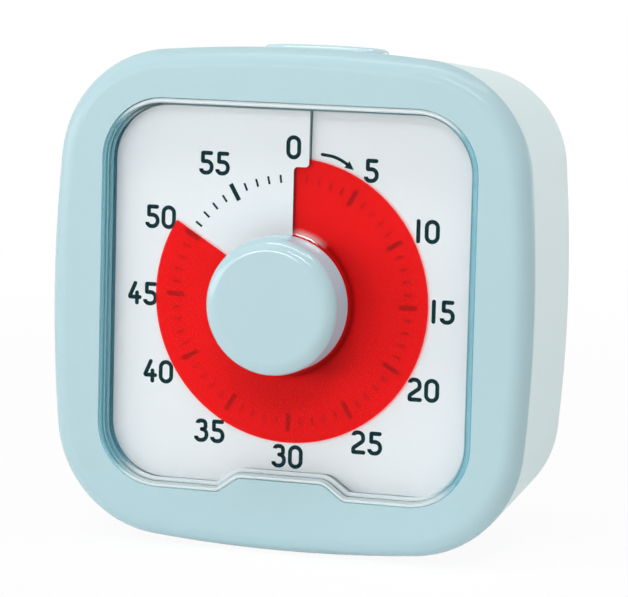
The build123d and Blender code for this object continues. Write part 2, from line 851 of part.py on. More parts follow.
def switch_thumb():
    """The switch's thumb piece: a stem, a flange that hides the slot, and a ribbed pad."""
    x, z = on_board(switch_place)
    x -= switch_travel / 2
    front = board_back + running_gap + switch_size[2] - 1.2
    flange = wall_back - loose_gap - thumb_flange
    body = block(2.4, 1.8, front, flange, x, z)
    cover = 2 * switch_travel + thumb_size[0] + 1.2
    body += block(cover, thumb_size[1] + 2.4, flange, flange + thumb_flange, x, z)
    pad_back = shell_back + thumb_proud
    body += block(*thumb_size, flange + thumb_flange, pad_back, x, z)
    for rib in (-1, 0, 1):
        body -= block(0.45, thumb_size[1], pad_back - 0.35, pad_back, x + rib * 1.15, z)
    return body


# ---- top button ----
def flange_top():
    """Height of the button's flange: under the wall at its lowest point."""
    back = button_depth + button_width / 2 + button_flange
    side = button_length / 2 + button_flange
    return side_height(side, case_inset(back) + shell_wall) - fit_gap


def button_board_top():
    plunger_top = flange_top() - button_flange - running_gap
    return plunger_top - button_travel - fit_gap - tact_height


def top_button():
    """A long low button that follows the case's top, with a flange that keeps it in."""
    column = extrude(button_outline(), amount=2 * case_half)
    raised = shell_blank(-button_proud, parting, shell_back)
    body = column & raised
    body = fillet(body.edges().group_by(Axis.Z)[-1], button_round)
    low = flange_top() - button_flange
    body -= extrude(Rectangle(4 * case_half, 4 * case_half), amount=flange_top())
    body += Pos(0, 0, low) * extrude(button_outline(button_flange), amount=button_flange)
    return body


def button_board():
    top = button_board_top()
    body = Pos(0, button_depth, top - button_board_thickness / 2) * Box(
        button_board_length, button_board_width, button_board_thickness)
    for x, y in button_post_places():
        body -= upright(board_screw[0] + clear_gap / 2, 0, top, x, y)
    return body


def tact_switch():
    low = button_board_top() + running_gap
    body = Pos(0, button_depth, low + tact_height / 2) * Box(tact_size, tact_size, tact_height)
    return body - upright(tact_plunger + running_gap, low + 1.0, low + tact_height, 0, button_depth)


def switch_plunger():
    low = button_board_top() + running_gap + tact_height - 1.2
    return upright(tact_plunger, low, flange_top() - button_flange, 0, button_depth)


# ---- battery ----
def battery_cell():
    nub_radius, nub_length = cell_nub
    can = Pos(-nub_length / 2, 0, 0) * Rot(0, 90, 0) * Cylinder(cell_radius, cell_length)
    can = fillet(can.edges().filter_by(GeomType.CIRCLE), 0.6)
    end = cell_length / 2 - nub_length / 2
    nub = Pos(end + nub_length / 2, 0, 0) * Rot(0, 90, 0) * Cylinder(nub_radius, nub_length)
    return Pos(0, cell_depth, cell_drop) * (can + nub)


def contact_plate(side):
    """A flat metal contact against an end wall of the battery bay."""
    x = side * (bay_half - contact_thickness / 2 - running_gap)
    return Pos(x, cell_depth, cell_drop) * Box(contact_thickness, contact_width, contact_rise)


def plate_contact():
    """The positive contact: a plate with a pressed dimple that meets the cell's nub."""
    reach = bay_room - running_gap - 2 * contact_thickness
    x = bay_half - contact_thickness - reach / 2
    dimple = Rot(0, 90, 0) * Cylinder(dimple_radius, reach)
    return contact_plate(1) + Pos(x, cell_depth, cell_drop) * dimple


def spring_contact():
    """The negative contact: a plate that carries a coil spring."""
    reach = bay_room - contact_thickness - 2 * spring_wire
    coil = Helix(reach / spring_turns, reach, spring_radius, direction=(1, 0, 0))
    start = Plane(coil @ 0, z_dir=coil % 0)
    wire = sweep(start * Circle(spring_wire), path=coil)
    x = -bay_half + contact_thickness + spring_wire
    return contact_plate(-1) + Pos(x, cell_depth, cell_drop) * wire


PIECES = {
    "front_bezel": front_bezel, "rear_shell": rear_shell, "feet": feet,
    "battery_door": battery_door, "housing_screws": housing_screws, "lens": lens,
    "dial_plate": dial_plate, "time_disc": time_disc, "disc_hub": disc_hub,
    "inner_frame": inner_frame, "spindle_bush": spindle_bush, "frame_screws": frame_screws,
    "knob_cap": knob_cap, "knob_base": knob_base, "spindle": spindle,
    "clutch_washer": clutch_washer, "centre_wheel": centre_wheel, "third_wheel": third_wheel,
    "second_wheel": second_wheel, "first_wheel": first_wheel, "rotor_pinion": rotor_pinion,
    "rotor_magnet": rotor_magnet, "stator": stator, "coil_bobbin": coil_bobbin,
    "coil_winding": coil_winding, "movement_case": movement_case,
    "movement_cover": movement_cover, "movement_screws": movement_screws,
    "circuit_board": circuit_board, "board_screws": board_screws,
    "controller_chip": controller_chip, "crystal": crystal, "buzzer": buzzer,
    "slide_switch": slide_switch, "switch_thumb": switch_thumb, "top_button": top_button,
    "button_board": button_board, "tact_switch": tact_switch, "switch_plunger": switch_plunger,
    "battery_cell": battery_cell, "plate_contact": plate_contact,
    "spring_contact": spring_contact,
}

os.makedirs("parts", exist_ok=True)
for piece_name, make in PIECES.items():
    save(make(), piece_name)
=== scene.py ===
"""Looks for the visual countdown timer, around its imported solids.

Lengths are metres. A "dial place" is X to the right and Z up from the spindle's axis, and a depth is
counted from the plane of the case's front into the case.
"""

import json
import math

import bpy
import numpy as np
from bpy.props import FloatProperty, FloatVectorProperty, IntProperty, PointerProperty
from mathutils import Matrix, Vector


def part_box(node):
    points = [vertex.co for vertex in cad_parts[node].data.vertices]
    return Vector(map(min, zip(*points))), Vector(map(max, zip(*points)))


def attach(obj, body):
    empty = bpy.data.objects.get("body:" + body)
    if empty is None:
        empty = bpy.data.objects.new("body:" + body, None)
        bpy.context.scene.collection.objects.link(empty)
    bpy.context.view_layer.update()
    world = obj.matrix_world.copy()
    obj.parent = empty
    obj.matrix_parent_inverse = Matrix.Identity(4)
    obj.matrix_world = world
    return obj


bl_info = {
    "name": "Visual countdown timer",
    "version": (1, 0, 0),
    "blender": (4, 5, 0),
    "location": "3D View > Sidebar > Timer",
    "description": "Finishes, printed dial, light and camera for a visual countdown timer",
    "category": "Object",
}

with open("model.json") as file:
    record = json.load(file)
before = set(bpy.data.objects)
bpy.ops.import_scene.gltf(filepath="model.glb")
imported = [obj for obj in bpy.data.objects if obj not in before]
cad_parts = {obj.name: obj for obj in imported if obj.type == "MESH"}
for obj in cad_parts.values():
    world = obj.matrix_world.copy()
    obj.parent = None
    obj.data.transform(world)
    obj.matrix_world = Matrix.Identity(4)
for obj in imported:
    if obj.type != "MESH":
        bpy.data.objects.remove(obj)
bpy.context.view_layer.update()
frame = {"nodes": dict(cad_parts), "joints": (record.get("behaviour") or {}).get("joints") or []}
NODES = frame["nodes"]
MM = 0.001

KNOB_JOINT = next(j for j in frame["joints"] if j["name"] == "knob_turn")
SPINDLE = Vector((KNOB_JOINT["pos_m"][0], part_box("front_bezel")[0].y, KNOB_JOINT["pos_m"][2]))

# The dial is a one-turn ramp: its front lies this deep just after zero and climbs by the pitch in a turn.
DIAL_AT_ZERO = 5.3 * MM
RAMP_PITCH = 1.1 * MM
FLAP_EDGE = 3.6 * MM        # the flap that carries the zero ends here, right of the zero line,
FLAP_STEP = 29.1 * MM       # and at this height above the spindle
PRINT_LIFT = 0.012 * MM     # printed marks stand this far in front of the dial
LIP_END = 22.0 * MM         # the cover's low ring round the knob ends within this reach of the spindle
COVER_LAP = 0.85 * MM       # the cover's hidden flange reaches this far past the window
WINDOW_CORNER = 14.0 * MM
TAB_HEIGHT, TAB_TOP, TAB_BASE = 3.4 * MM, 9.7 * MM, 14.3 * MM   # the bezel's tab, half its widths
TAB_ROUND = 2.9 * MM

WHITE = (1.0, 1.0, 1.0, 1.0)
PLASTIC_IOR = 1.46
ROUGHNESS_DRIFT = 0.004     # moulded plastic's roughness varies by this much to both sides
LEVEL_BAND = (-4 * MM, 8 * MM)     # height above the diagonals, from the sides to above and below


# ---- meshes from arrays ----
def place_mesh(name, points, faces, body, slot, material):
    """Makes a flat-shaded piece from points and faces, rides it on a body and gives it a finish."""
    mesh = bpy.data.meshes.new(name)
    mesh.from_pydata(np.asarray(points, float).tolist(), [], np.asarray(faces, int).tolist())
    mesh.validate()
    mesh.shade_flat()
    mesh.materials.append(material)
    piece = bpy.data.objects.new(name, mesh)
    bpy.context.scene.collection.objects.link(piece)
    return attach(piece, body)


def grid_faces(rows, columns):
    """Four-cornered faces between neighbours of a grid of rows by columns points, counted row by row."""
    corner = (np.arange(rows - 1)[:, None] * columns + np.arange(columns - 1)).ravel()
    return np.stack([corner, corner + 1, corner + columns + 1, corner + columns], axis=1)


def dial_front(x, z):
    """Depth of the dial's front: the ramp's start less the pitch times the turn, clockwise from zero.

    The strip between the zero line and the flap's edge belongs to the end of the turn.
    """
    turn = np.arctan2(x, z) / (2 * math.pi)
    on_flap = (x < FLAP_EDGE) & (z > FLAP_STEP)
    turn = np.where((turn < 0) | on_flap, turn + 1, turn)
    return DIAL_AT_ZERO - RAMP_PITCH * turn


def on_dial(flat):
    """Dial places as points just in front of the dial."""
    x, z = flat[:, 0], flat[:, 1]
    depth = dial_front(x, z) - PRINT_LIFT
    return np.stack([x, depth, z], axis=1) + np.array(SPINDLE)


def window_path(inset):
    """The window's outline about the spindle, drawn in, from the tab's middle clockwise round to it again.

    Each corner moves in by inset times the sum of its two sides' inner normals over one plus their
    product. A corner that bends inwards loses the inset from its radius, and the tab's two top corners
    gain it.
    """
    low, high = (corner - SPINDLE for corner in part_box("lens"))
    left, right = low.x + COVER_LAP, high.x - COVER_LAP
    bottom, top = low.z + COVER_LAP, high.z - COVER_LAP
    corners = np.array([
        [-TAB_TOP, bottom + TAB_HEIGHT], [-TAB_BASE, bottom], [left, bottom], [left, top],
        [right, top], [right, bottom], [TAB_BASE, bottom], [TAB_TOP, bottom + TAB_HEIGHT]])
    side = np.roll(corners, -1, axis=0) - corners
    side /= np.linalg.norm(side, axis=1, keepdims=True)
    normal = np.stack([side[:, 1], -side[:, 0]], axis=1)
    before = np.roll(normal, 1, axis=0)
    corners += inset * (normal + before) / (1 + np.sum(normal * before, axis=1, keepdims=True))
    radii = np.array([TAB_ROUND] * 2 + [WINDOW_CORNER] * 4 + [TAB_ROUND] * 2)
    radii += inset * np.array([1] + [-1] * 6 + [1])
    middle = np.array([[0, bottom + TAB_HEIGHT + inset]])
    return rounded_path(np.concatenate([middle, corners, middle]), radii, 12)


# ---- strokes ----
def rounded_path(corners, radii, step):
    """A line through corners, each turned into an arc of its radius, in so many steps per radian.

    Each arc starts and ends radius times tan(half the turn) from its corner, and runs evenly
    through the turn about the centre that lies on the corner's bisector.
    """
    corners = np.asarray(corners, float)
    path = [corners[:1]]
    for before, corner, after, radius in zip(corners, corners[1:], corners[2:], radii, strict=False):
        into, out = corner - before, after - corner
        into, out = into / np.linalg.norm(into), out / np.linalg.norm(out)
        cross, dot = into[0] * out[1] - into[1] * out[0], float(into @ out)
        turn = math.atan2(cross, dot)
        reach = radius * math.tan(abs(turn) / 2)
        side = math.copysign(1.0, turn)
        normal = side * np.array([-into[1], into[0]])
        centre = corner - into * reach + normal * radius
        count = max(2, int(abs(turn) * step) + 1)
        angles = np.linspace(0, abs(turn), count)[:, None]
        path.append(centre - normal * radius * np.cos(angles) + into * radius * np.sin(angles))
    path.append(corners[-1:])
    return np.concatenate(path)


def ribbon(path, width, closed=False, rounded=True):
    """A flat stroke: each point of the path is moved to both sides along the path's normal.

    The ends are half discs: past an end by d, half the width shrinks to the root of r*r - d*d.
    """
    half = width / 2
    apart = np.linalg.norm(np.diff(path, axis=0), axis=1) > 0.0001 * MM
    path = path[np.append(True, apart)]
    if closed:
        path = np.concatenate([path[-2:-1], path, path[1:2]])
    tangent = np.gradient(path, axis=0)
    tangent /= np.linalg.norm(tangent, axis=1, keepdims=True)
    reach = np.full(len(path), half)
    if closed:
        path, tangent, reach = path[1:-1], tangent[1:-1], reach[1:-1]
    elif rounded:
        lean = np.linspace(0, math.pi / 2, 7)[1:]
        ahead, spread = half * np.sin(lean), half * np.cos(lean)
        head = path[0] - tangent[0] * ahead[::-1, None]
        tail = path[-1] + tangent[-1] * ahead[:, None]
        path = np.concatenate([head, path, tail])
        first, last = (np.repeat(end, len(lean), axis=0) for end in (tangent[:1], tangent[-1:]))
        tangent = np.concatenate([first, tangent, last])
        reach = np.concatenate([spread[::-1], reach, spread])
    normal = np.stack([-tangent[:, 1], tangent[:, 0]], axis=1) * reach[:, None]
    points = np.stack([path + normal, path - normal], axis=1).reshape(-1, 2)
    return points, grid_faces(len(path), 2)


# The strokes of each numeral in a box from -1 to 1 across and 0 to 2 upwards, as corners and radii.
LOW, HIGH = 0.0, 2.0
DIGIT_STROKES = {
    "0": [([(0, HIGH), (1, HIGH), (1, LOW), (-1, LOW), (-1, HIGH), (0, HIGH)], [1, 1, 1, 1])],
    "1": [([(0, HIGH), (0, LOW)], [])],
    "2": [([(-0.94, 1.72), (-0.9, HIGH), (0.82, HIGH), (0.82, 1.16), (-0.94, 0.42), (-0.94, LOW), (0.94, LOW)],
           [0.62, 0.85, 0.62, 0.5, 0.1])],
    "3": [([(-0.78, 1.80), (-0.74, HIGH), (0.72, HIGH), (0.72, 1.13), (0.02, 1.13)], [0.55, 0.6, 0.5]),
          ([(0.02, 1.13), (0.94, 1.13), (0.94, LOW), (-0.98, LOW), (-1.0, 0.22)], [0.9, 0.95, 0.75])],
    "4": [([(0.12, HIGH), (-0.96, 0.58), (0.98, 0.58)], [0.12]), ([(0.46, 1.04), (0.46, LOW)], [])],
    "5": [([(0.80, HIGH), (-0.72, HIGH), (-0.72, 1.16), (0.94, 1.16), (0.94, LOW), (-0.98, LOW), (-1.0, 0.24)],
           [0.08, 0.08, 0.95, 0.95, 0.75])],
}


def put_strokes(strokes, centre, half_width, half_height):
    """Scales strokes to a numeral's half sizes and sets them about a dial place."""
    placed = []
    for corners, radii in strokes:
        corners = np.asarray(corners, float)
        flat = (corners - [0, 1]) * [half_width, half_height] + centre
        placed.append(rounded_path(flat, np.asarray(radii, float) * min(half_width, half_height), 14))
    return placed


def join(parts):
    """Several (points, faces) as one."""
    starts = np.cumsum([0] + [len(points) for points, _ in parts])
    points = np.concatenate([points for points, _ in parts])
    faces = np.concatenate([faces + start for (_, faces), start in zip(parts, starts, strict=False)])
    return points, faces


# ---- materials ----
def new_material(name):
    """An empty node material and its output."""
    material = bpy.data.materials.new(name)
    material.use_nodes = True
    tree = material.node_tree
    tree.nodes.clear()
    return material, tree, tree.nodes.new("ShaderNodeOutputMaterial")


def node(tree, kind, values=None, **settings):
    """A node with its settings and its sockets' values; a value that is a socket is linked."""
    made = tree.nodes.new(kind)
    for name, value in settings.items():
        setattr(made, name, value)
    for name, value in (values or {}).items():
        if isinstance(value, bpy.types.NodeSocket):
            tree.links.new(value, made.inputs[name])
        else:
            made.inputs[name].default_value = value
    return made


def mixed(tree, share, first, second):
    """Two shaders mixed: the first where the share is 0 and the second where it is 1."""
    return node(tree, "ShaderNodeMixShader", {0: share, 1: first, 2: second}).outputs[0]


def mixed_colour(tree, share, first, second):
    """Two colours mixed in the same way."""
    return node(tree, "ShaderNodeMix", {0: share, 6: first, 7: second}, data_type="RGBA").outputs[2]


def calc(tree, operation, *values):
    """The result of a Math node on values or sockets."""
    return node(tree, "ShaderNodeMath", dict(enumerate(values)), operation=operation).outputs[0]


def vector_calc(tree, operation, *values):
    """The result of a Vector Math node on vectors or sockets: a number for a length or a dot product."""
    made = node(tree, "ShaderNodeVectorMath", dict(enumerate(values)), operation=operation)
    return made.outputs["Value" if operation in ("LENGTH", "DOT_PRODUCT") else "Vector"]


def ranged(tree, value, start, end, low=0.0, high=1.0, eased=False):
    """Goes from low to high while a value goes from start to end, and is eased at both ends if asked."""
    return node(tree, "ShaderNodeMapRange", {
        "Value": value, "From Min": start, "From Max": end, "To Min": low, "To Max": high},
        interpolation_type="SMOOTHSTEP" if eased else "LINEAR").outputs["Result"]


def object_place(tree):
    return node(tree, "ShaderNodeTexCoord").outputs["Object"]


def noise_of(tree, scale, detail):
    """A noise pattern on the piece, from 0 to 1."""
    return node(tree, "ShaderNodeTexNoise", {
        "Vector": object_place(tree), "Scale": scale, "Detail": detail}).outputs["Fac"]


def from_spindle(tree):
    """A place on a piece as seen from the spindle at the front's plane."""
    return vector_calc(tree, "SUBTRACT", object_place(tree), list(SPINDLE))


def level_share(tree, below_only=False):
    """1 above and below the spindle, or only below it, and 0 beside it, eased across the diagonals."""
    if below_only:
        away = vector_calc(tree, "MULTIPLY", from_spindle(tree), [1, 1, -1])
    else:
        away = vector_calc(tree, "ABSOLUTE", from_spindle(tree))
    parts = node(tree, "ShaderNodeSeparateXYZ", {"Vector": away}).outputs
    higher = calc(tree, "SUBTRACT", parts["Z"], calc(tree, "ABSOLUTE", parts["X"]))
    return ranged(tree, higher, *LEVEL_BAND, eased=True)


def forward_part(tree):
    """How far a face looks straight forwards or backwards, from 0 to 1."""
    normal = node(tree, "ShaderNodeNewGeometry").outputs["Normal"]
    return calc(tree, "ABSOLUTE", node(tree, "ShaderNodeSeparateXYZ", {"Vector": normal}).outputs["Y"])


def seen_rays(tree):
    """1 for camera, glossy and transmission rays, and 0 for the rays that carry light to other pieces."""
    path = node(tree, "ShaderNodeLightPath").outputs
    mirrored = calc(tree, "MAXIMUM", path["Is Camera Ray"], path["Is Glossy Ray"])
    return calc(tree, "MAXIMUM", mirrored, path["Is Transmission Ray"])


def shadow_rays(tree):
    return node(tree, "ShaderNodeLightPath").outputs["Is Shadow Ray"]


def grain_bump(tree, scale, depth, strength):
    """A fine moulded or sandy grain as a bump's normal."""
    return node(tree, "ShaderNodeBump", {
        "Height": noise_of(tree, scale, 3.0), "Distance": depth, "Strength": strength}).outputs["Normal"]


def mottled(tree, colour, amount, scale):
    """A colour that drifts a little lighter and darker over the piece."""
    dark = [c * (1 - amount) for c in colour[:3]] + [1.0]
    light = [min(1.0, c * (1 + amount)) for c in colour[:3]] + [1.0]
    return mixed_colour(tree, noise_of(tree, scale, 2.0), dark, light)


def moulded_plastic(name, colour, roughness, grain=2600.0, depth=0.00001, mottle=0.008, shine=0.5, soft=0.0):
    """Moulded plastic: a faint drift of colour, a fine surface grain and a gloss that varies a little."""
    material, tree, out = new_material(name)
    drift = noise_of(tree, 420.0, 2.0)
    rough = ranged(tree, drift, 0.0, 1.0, roughness - ROUGHNESS_DRIFT, roughness + ROUGHNESS_DRIFT)
    skin = node(tree, "ShaderNodeBsdfPrincipled", {
        "Base Color": mottled(tree, colour, mottle, 18.0), "Roughness": rough,
        "Normal": grain_bump(tree, grain, depth, 0.25), "IOR": PLASTIC_IOR, "Specular IOR Level": shine,
        "Subsurface Weight": soft, "Subsurface Scale": 0.001})
    tree.links.new(skin.outputs["BSDF"], out.inputs["Surface"])
    return material


def metal(name, colour, roughness, brushed=900.0):
    """Metal with fine turning or rolling marks."""
    material, tree, out = new_material(name)
    rough = ranged(tree, noise_of(tree, brushed, 4.0), 0.0, 1.0, roughness * 0.8, roughness * 1.25)
    skin = node(tree, "ShaderNodeBsdfPrincipled", {
        "Base Color": mottled(tree, colour, 0.06, 300.0), "Metallic": 1.0, "Roughness": rough,
        "Normal": grain_bump(tree, brushed, 0.00001, 0.3)})
    tree.links.new(skin.outputs["BSDF"], out.inputs["Surface"])
    return material


# The clear cover's zones, by how far a face looks forward: the pane, and from a wall to its rounding.
PANE_FACES = (0.985, 0.999)
ROUNDED_FACES = (0.05, 0.25)
# Scattered light in the rim, pale as painted light on its upper and lower sides and teal as painted shade on
# its left and right sides: colour, share on a wall, share on the rounding, and how much comes from behind.
LEVEL_RIM = ((0.90, 0.97, 0.98), 0.75, 0.85, 0.1)
UPRIGHT_RIM = ((0.46, 0.82, 0.94), 0.75, 0.40, 0.8)
FORWARD_BEND = 1.3          # of the normal that scatters it
RIM_IOR = 1.38
# The low ring's painted glint and painted shade: the way that their faces look, how nearly a face has to look
# that way, the slopes between which they rise and fade, and how strong they get.
GLINT_HEADING, SHADE_HEADING = (0.36, 0, 0.93), (0.97, 0, -0.25)
GLINT_NEAR, SHADE_NEAR = (0.955, 1.0), (0.0, 0.12)
GLINT_RISES, RING_FADES = (0.04, 0.15), (0.2, 0.33)
GLINT_MOST, SHADE_DEPTH = 0.3, 1.4


def clear_acrylic(name, tint, rim, gloss):
    """Clear acrylic in three zones: the pane, the rim round the window and the low ring round the knob.

    The pane, the low ring and the rim's upper and lower sides let what is behind show straight through.
    The pane mirrors as its refractive index says. On the rim's upper and lower sides the share that is
    mirrored grows with the fifth power of one less the facing cosine, and its left and right sides bend the
    light as thick acrylic does. The rim's scattered light is painted: pale as painted light on its upper and
    lower sides and teal as painted shade on its left and right. The low ring carries a painted glint and a
    painted shade. Lamps shine through it all, so what lies behind isn't in its shadow.
    """
    material, tree, out = new_material(name)
    normal = node(tree, "ShaderNodeNewGeometry").outputs["Normal"]
    forward = forward_part(tree)
    mirror = node(tree, "ShaderNodeBsdfGlossy", {"Color": WHITE, "Roughness": 0.03}).outputs[0]

    def layered(colour, share):
        """A see-through layer in a colour or a socket's grey, which mirrors a share of the light."""
        through = node(tree, "ShaderNodeBsdfTransparent", {"Color": colour}).outputs[0]
        return mixed(tree, share, through, mirror)

    def milky(clear, colour, wall, rounding, from_behind):
        """A share of the light scattered in a colour: one share on upright walls, another on the rounding.

        The scattering normal is bent forwards, because light reaches the walls from inside the pane.
        """
        bent = vector_calc(tree, "NORMALIZE", vector_calc(tree, "ADD", normal, [0, -FORWARD_BEND, 0]))
        front = node(tree, "ShaderNodeBsdfDiffuse", {"Color": [*colour, 1.0], "Normal": bent}).outputs[0]
        behind = node(tree, "ShaderNodeBsdfTranslucent", {"Color": [*colour, 1.0]}).outputs[0]
        share = ranged(tree, forward, *ROUNDED_FACES, wall, rounding)
        return mixed(tree, share, clear, mixed(tree, from_behind, front, behind))

    def low_ring():
        """Clear, with a painted glint where its slope looks to the upper right and a painted shade at the lower
        right.
        """
        sideways = vector_calc(tree, "MULTIPLY", normal, [1, 0, 1])
        slope = vector_calc(tree, "LENGTH", sideways)
        fading = ranged(tree, slope, *RING_FADES, GLINT_MOST, 0.0, eased=True)
        # Painted glint: a mirror share where the slope looks to the upper right
        heading = vector_calc(tree, "DOT_PRODUCT", vector_calc(tree, "NORMALIZE", sideways), GLINT_HEADING)
        glint = calc(tree, "MULTIPLY", ranged(tree, heading, *GLINT_NEAR, eased=True),
                     ranged(tree, slope, *GLINT_RISES, eased=True))
        glint = calc(tree, "MULTIPLY", glint, fading)
        # Painted shade: the ring's lower right slopes darken what shows through them
        lower_right = vector_calc(tree, "DOT_PRODUCT", sideways, SHADE_HEADING)
        shade = calc(tree, "MULTIPLY", ranged(tree, lower_right, *SHADE_NEAR, eased=True), fading)
        return layered(calc(tree, "MULTIPLY_ADD", shade, -SHADE_DEPTH, 1.0), glint)

    pane = layered([*tint, 1.0], node(tree, "ShaderNodeFresnel", {"IOR": gloss}).outputs[0])
    facing = node(tree, "ShaderNodeLayerWeight", {"Blend": 0.5}).outputs["Facing"]
    mirrored = calc(tree, "MULTIPLY_ADD", calc(tree, "POWER", facing, 5.0), 0.95, 0.05)
    # Painted light and shade: the rim's upper and lower sides scatter a pale colour and its left and right
    # sides a darker teal one
    level = milky(layered([*rim[:3], 1.0], mirrored), *LEVEL_RIM)
    glass = node(tree, "ShaderNodeBsdfGlass", {"Color": [*rim[:3], 1.0], "Roughness": 0.01, "IOR": RIM_IOR})
    upright = milky(glass.outputs[0], *UPRIGHT_RIM)
    edge = mixed(tree, level_share(tree), upright, level)
    near_knob = calc(tree, "LESS_THAN", vector_calc(tree, "LENGTH", from_spindle(tree)), LIP_END)
    outside = mixed(tree, near_knob, edge, low_ring())
    body = mixed(tree, ranged(tree, forward, *PANE_FACES), outside, pane)
    lamp_way = node(tree, "ShaderNodeBsdfTransparent", {"Color": [0.99, 1.0, 1.0, 1.0]}).outputs[0]
    tree.links.new(mixed(tree, shadow_rays(tree), body, lamp_way), out.inputs["Surface"])
    return material


def red_sheet(name, colour, through):
    """Matt red sheet, thin enough to let the dial's marks show through a little.

    A ray is held back where it enters the sheet and leaves it freely. Lamps shine through it in red,
    as through a thin film, so the dial behind it isn't black.
    """
    material, tree, out = new_material(name)
    skin = node(tree, "ShaderNodeBsdfPrincipled", {
        "Base Color": mottled(tree, colour, 0.015, 60.0), "Roughness": 0.6, "Specular IOR Level": 0.05,
        "Normal": grain_bump(tree, 3500.0, 0.00001, 0.2)}).outputs[0]
    film = node(tree, "ShaderNodeBsdfTransparent", {"Color": [1.0, 0.03, 0.03, 1.0]}).outputs[0]
    clear = node(tree, "ShaderNodeBsdfTransparent", {"Color": WHITE}).outputs[0]
    entering = mixed(tree, shadow_rays(tree), mixed(tree, through, skin, film), film)
    backfacing = node(tree, "ShaderNodeNewGeometry").outputs["Backfacing"]
    tree.links.new(mixed(tree, backfacing, entering, clear), out.inputs["Surface"])
    return material


def studio_floor(name, colour, lift):
    """A pale floor that keeps the timer's shadow but shows nearly white to the eye and in reflections."""
    material, tree, out = new_material(name)
    shade = mixed_colour(tree, noise_of(tree, 3.0, 2.0), [c * 0.99 for c in colour] + [1.0], [*colour, 1.0])
    paper = node(tree, "ShaderNodeBsdfDiffuse", {"Color": shade}).outputs[0]
    glow = node(tree, "ShaderNodeEmission", {"Color": WHITE, "Strength": 1.0}).outputs[0]
    away = vector_calc(tree, "LENGTH", object_place(tree))
    white = ranged(tree, away, 0.12, 0.6, lift, 1.0, eased=True)
    share = calc(tree, "MULTIPLY", seen_rays(tree), white)
    tree.links.new(mixed(tree, share, paper, glow), out.inputs["Surface"])
    return material


def printed_sheet(name, colour, edge):
    """A matt printed sheet whose cut edges, the faces that don't look forward, are painted dark as shade."""
    material, tree, out = new_material(name)
    front = calc(tree, "GREATER_THAN", forward_part(tree), 0.6)
    shade = mixed_colour(tree, front, [*edge, 1.0], mottled(tree, colour, 0.008, 40.0))
    skin = node(tree, "ShaderNodeBsdfPrincipled", {
        "Base Color": shade, "Roughness": 0.8, "Specular IOR Level": 0.2,
        "Normal": grain_bump(tree, 5000.0, 0.000005, 0.2)})
    tree.links.new(skin.outputs[0], out.inputs["Surface"])
    return material


def lit_and_shaded_plastic(name, light, dark, alphas=(1.0, 1.0), below_only=False):
    """Plastic round the dial in painted light and shade: painted light above and below it, or only below it,
    and painted shade elsewhere.

    The alphas are those of the light and the dark part.
    """
    material, tree, out = new_material(name)
    share = level_share(tree, below_only)
    # Painted light and shade: the light colour above and below the dial, or only below it, and the dark one
    # beside it
    shade = mixed_colour(tree, share, mottled(tree, dark, 0.01, 40.0), mottled(tree, light, 0.01, 40.0))
    alpha = alphas[0] if alphas[0] == alphas[1] else ranged(tree, share, 0.0, 1.0, alphas[1], alphas[0])
    skin = node(tree, "ShaderNodeBsdfPrincipled", {
        "Base Color": shade, "Roughness": 0.5, "Specular IOR Level": 0.2, "Alpha": alpha,
        "Normal": grain_bump(tree, 2600.0, 0.00001, 0.25)})
    tree.links.new(skin.outputs[0], out.inputs["Surface"])
    return material


def dress(names, material):
    """Gives solids a finish in place of the plain one that they came with."""
    for name in names:
        for slot in NODES[name].material_slots:
            slot.material = material


# ---- settings a user would change ----
class TIMER_PG_finish(bpy.types.PropertyGroup):
    case_colour: FloatVectorProperty(
        name="Case colour", description="Front, knob cap and top button", subtype="COLOR",
        default=(0.478, 0.668, 0.716), min=0, max=1)
    shell_colour: FloatVectorProperty(
        name="Shell colour", description="Rear shell, battery door and switch", subtype="COLOR",
        default=(0.73, 0.87, 0.88), min=0, max=1)
    skirt_colour: FloatVectorProperty(
        name="Knob skirt colour", description="The lower part of the knob", subtype="COLOR",
        default=(0.46, 0.79, 0.90), min=0, max=1)
    dial_colour: FloatVectorProperty(
        name="Dial colour", description="The printed sheet", subtype="COLOR",
        default=(0.88, 0.90, 0.92), min=0, max=1)
    disc_colour: FloatVectorProperty(
        name="Disc colour", description="The disc that shows the time left", subtype="COLOR",
        default=(1.0, 0.021, 0.023), min=0, max=1)
    # Painted shade: the frame's left and right sides, seen in the cover's rim, take this darker colour; above
    # and below the dial the frame is painted light
    frame_side_shade: FloatVectorProperty(
        name="Frame colour", description="The frame behind the dial, seen in the cover's rim", subtype="COLOR",
        default=(0.55, 0.85, 0.92), min=0, max=1)
    ink_colour: FloatVectorProperty(
        name="Ink colour", description="Numerals, marks and arrow", subtype="COLOR",
        default=(0.003, 0.030, 0.036), min=0, max=1)
    gloss: FloatProperty(name="Gloss", description="Roughness of the case", default=0.2, min=0.05, max=1)
    rim_colour: FloatVectorProperty(
        name="Cover rim colour", description="Tint of the clear cover's rim and lip", subtype="COLOR",
        default=(0.88, 0.965, 0.98), min=0, max=1)
    pane_gloss: FloatProperty(
        name="Pane gloss", description="Refractive index that sets how much the clear pane mirrors",
        default=1.08, min=1, max=2)
    see_through: FloatProperty(
        name="Disc see-through", description="How much of the dial's marks shows through the disc",
        default=0.55, min=0, max=1)


